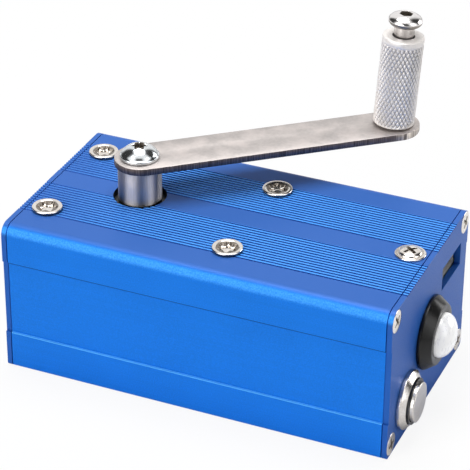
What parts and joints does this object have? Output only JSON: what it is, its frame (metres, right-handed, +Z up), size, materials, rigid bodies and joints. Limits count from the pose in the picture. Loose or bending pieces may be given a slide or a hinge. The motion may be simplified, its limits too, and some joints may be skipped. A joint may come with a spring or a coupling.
{
  "type": "hand crank generator",
  "caption": "Hand crank generator: a blue extruded case with a steel crank on top, and a lamp, a push switch and a USB socket at one end.",
  "frame": {"origin": "centre of the case's underside", "axes": "+X along the case towards the lamp, +Y away from the switch's side, +Z up"},
  "size_m": [0.1071, 0.0761, 0.0804],
  "materials": {
    "blue_anodised": "satin blue anodising",
    "steel_arm": "rolled, unpolished",
    "steel_hub": "turned",
    "zinc_screw": "zinc plated",
    "polished_steel": "polished",
    "knurled_aluminium": "knurled",
    "black_plastic": "satin",
    "clear_lens": "clear",
    "switch_metal": "satin",
    "usb_metal": "bright nickel",
    "contact_gold": "gold plated",
    "gear_brass": "machined",
    "gear_steel": "machined",
    "bronze_bush": "sintered",
    "plate_steel": "black oxide",
    "circuit_green": "solder mask",
    "magnet_black": "ferrite",
    "copper_winding": "enamelled copper",
    "reflector_silver": "metallised",
    "led_yellow": "phosphor"
  },
  "bodies": {
    "case": {"case_body": "blue_anodised", "left_end_plate": "blue_anodised", "right_end_plate": "blue_anodised", "left_plate_screws": "zinc_screw", "right_plate_screws": "zinc_screw", "gearbox_screws": "zinc_screw", "bracket_screw": "zinc_screw", "lamp_bezel": "black_plastic", "lamp_lens": "clear_lens", "lamp_reflector": "reflector_silver", "led_board": "circuit_green", "led": "led_yellow", "lamp_retainer": "black_plastic", "lamp_nut": "black_plastic", "switch_body": "switch_metal", "switch_ring": "black_plastic", "switch_base": "black_plastic", "switch_terminals": "contact_gold", "switch_nut": "zinc_screw", "usb_shell": "usb_metal", "usb_tongue": "black_plastic", "usb_contacts": "contact_gold", "gearbox_top_plate": "plate_steel", "gearbox_bottom_plate": "plate_steel", "gearbox_pillars": "plate_steel", "gearbox_lower_screws": "zinc_screw", "upper_bush": "bronze_bush", "lower_bush": "bronze_bush", "first_idler_pin": "gear_steel", "second_idler_pin": "gear_steel", "motor_can": "plate_steel", "motor_magnets": "magnet_black", "motor_end_cap": "black_plastic", "motor_terminals": "contact_gold", "motor_screws": "zinc_screw", "circuit_board": "circuit_green", "capacitors": "black_plastic", "inductor": "copper_winding", "rectifier_diodes": "black_plastic", "regulator_chip": "black_plastic", "board_bracket": "plate_steel", "board_screw": "zinc_screw", "board_nut": "zinc_screw"},
    "crank": {"crank_hub": "steel_hub", "crank_arm": "steel_arm", "crank_screw": "zinc_screw", "handle_bolt": "polished_steel", "crank_shaft": "gear_steel", "crank_gear": "gear_steel"},
    "handle": {"handle_sleeve": "knurled_aluminium"},
    "first_idler": {"first_idler_gear": "gear_brass"},
    "second_idler": {"second_idler_gear": "gear_brass"},
    "rotor": {"motor_shaft": "gear_steel", "motor_pinion": "gear_brass", "motor_armature": "copper_winding", "motor_commutator": "gear_brass"},
    "button": {"switch_cap": "switch_metal"}
  },
  "joints": [
    {"name": "crank_spin", "type": "hinge", "parent": "case", "child": "crank", "pos_m": [-0.0259, 0, 0.04], "axis": [0, 0, 1], "continuous": true},
    {"name": "handle_spin", "type": "hinge", "parent": "crank", "child": "handle", "pos_m": [0.02443, 0.04223, 0.0505], "axis": [0.0534, 0.0448, 0.9976], "continuous": true},
    {"name": "first_idler_spin", "type": "hinge", "parent": "case", "child": "first_idler", "pos_m": [-0.0079, 0, 0.03], "axis": [0, 0, 1], "continuous": true},
    {"name": "second_idler_spin", "type": "hinge", "parent": "case", "child": "second_idler", "pos_m": [-0.01787, 0.01277, 0.028], "axis": [0, 0, 1], "continuous": true},
    {"name": "rotor_spin", "type": "hinge", "parent": "case", "child": "rotor", "pos_m": [-0.01558, -0.00023, 0.016], "axis": [0, 0, 1], "continuous": true},
    {"name": "switch_press", "type": "slide", "parent": "case", "child": "button", "axis": [-1, 0, 0], "range_m": [0, 0.0015], "stiffness_N_per_m": 400, "springref_m": -0.002}
  ],
  "couplings": [
    {"joint": "first_idler_spin", "follows": "crank_spin", "ratio": -4},
    {"joint": "second_idler_spin", "follows": "crank_spin", "ratio": 14},
    {"joint": "rotor_spin", "follows": "crank_spin", "ratio": -47.6}
  ]
}
